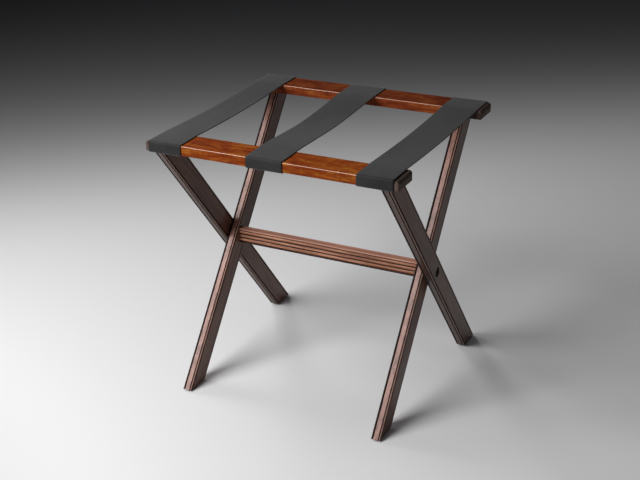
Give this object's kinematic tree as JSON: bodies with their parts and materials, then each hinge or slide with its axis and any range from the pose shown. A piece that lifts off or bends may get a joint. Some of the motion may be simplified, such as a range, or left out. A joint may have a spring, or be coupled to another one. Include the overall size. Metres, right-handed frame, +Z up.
{
  "type": "luggage rack",
  "caption": "Folding wooden luggage rack with crossed beaded legs, flat rails, a reeded stretcher and leather straps between the rails.",
  "frame": {"origin": "on the floor under the middle of the open rack", "axes": "+X along the rails to the right, +Y from the front rail to the back rail, +Z up"},
  "size_m": [0.512, 0.4698, 0.5359],
  "materials": {
    "rail_wood": "glossy lacquer",
    "leg_wood": "satin lacquer",
    "stretcher_wood": "satin lacquer",
    "strap_leather": "satin, finely grained",
    "dark_steel": "blackened",
    "nylon": "matte",
    "brass": "plain",
    "pale_wood": "raw",
    "glide_plastic": "matte"
  },
  "bodies": {
    "inner_frame": {"back_rail": "rail_wood", "leg_inner_left": "leg_wood", "leg_inner_right": "leg_wood", "stretcher": "stretcher_wood", "strap_left": "strap_leather", "strap_middle": "strap_leather", "strap_right": "strap_leather", "pivot_bolt_left": "dark_steel", "pivot_bolt_right": "dark_steel", "head_washer_left": "dark_steel", "head_washer_right": "dark_steel", "pivot_washer_left": "nylon", "pivot_washer_right": "nylon", "insert_left": "brass", "insert_right": "brass", "bar_pins_left": "pale_wood", "bar_pins_right": "pale_wood", "dowels_back_left": "pale_wood", "dowels_back_right": "pale_wood", "tacks_back": "dark_steel", "glide_inner_left": "glide_plastic", "glide_inner_right": "glide_plastic"},
    "outer_frame": {"front_rail": "rail_wood", "leg_outer_left": "leg_wood", "leg_outer_right": "leg_wood", "dowels_front_left": "pale_wood", "dowels_front_right": "pale_wood", "tacks_front": "dark_steel", "glide_outer_left": "glide_plastic", "glide_outer_right": "glide_plastic"}
  },
  "joints": [
    {"name": "fold", "type": "hinge", "parent": "inner_frame", "child": "outer_frame", "pos_m": [0, 0, 0.258], "axis": [-1, 0, 0], "range_deg": [0, 62], "deforming": ["strap_left", "strap_middle", "strap_right"]}
  ]
}
